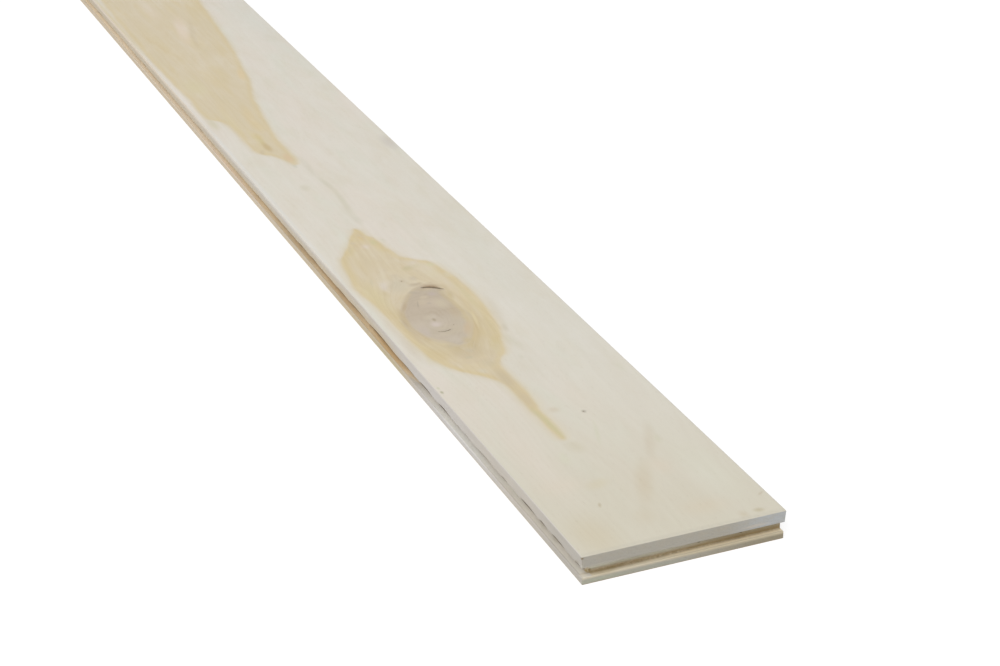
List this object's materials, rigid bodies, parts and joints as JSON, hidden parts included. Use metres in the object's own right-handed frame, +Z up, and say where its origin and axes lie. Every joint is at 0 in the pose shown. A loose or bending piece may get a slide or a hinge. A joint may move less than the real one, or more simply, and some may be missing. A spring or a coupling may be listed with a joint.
{
  "type": "tongue and groove board",
  "caption": "Solid wood floorboard milled with a groove along one side and one end, and a tongue along the other side and end.",
  "frame": {"origin": "middle of the flat back, under the middle of the face and without the tongues", "axes": "+X across the board from the grooved side to the tongued side, +Y along the grain from the grooved end to the tongued end, +Z up from the back to the face"},
  "size_m": [0.1332, 1.2236, 0.0191],
  "materials": {
    "wood": "white-oiled matt"
  },
  "bodies": {
    "root": {"board": "wood"}
  },
  "joints": []
}
